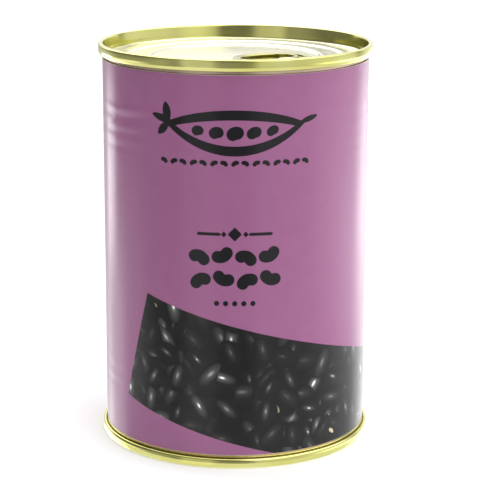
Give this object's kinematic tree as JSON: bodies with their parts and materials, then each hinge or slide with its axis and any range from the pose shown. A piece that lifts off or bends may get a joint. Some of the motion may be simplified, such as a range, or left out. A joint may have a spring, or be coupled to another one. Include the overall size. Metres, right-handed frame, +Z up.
{
  "type": "food can",
  "caption": "Shut steel food can with a paper label, rolled seams at both ends and a ring pull riveted to its sunk lid.",
  "frame": {"origin": "middle of the foot ring, on the surface that the can stands on", "axes": "+Z up along the can's axis; -Y towards the front of the label; +X to the right seen from the front"},
  "size_m": [0.0754, 0.0754, 0.11],
  "materials": {
    "gold_lacquer": "tinplate under a clear gold lacquer, glossy",
    "body_tinplate": "tinplate, satin",
    "label_paper": "printed paper, satin"
  },
  "bodies": {
    "root": {"can_body": "body_tinplate", "label": "label_paper", "lid": "gold_lacquer", "base_end": "gold_lacquer", "ring_pull": "gold_lacquer"}
  },
  "joints": []
}
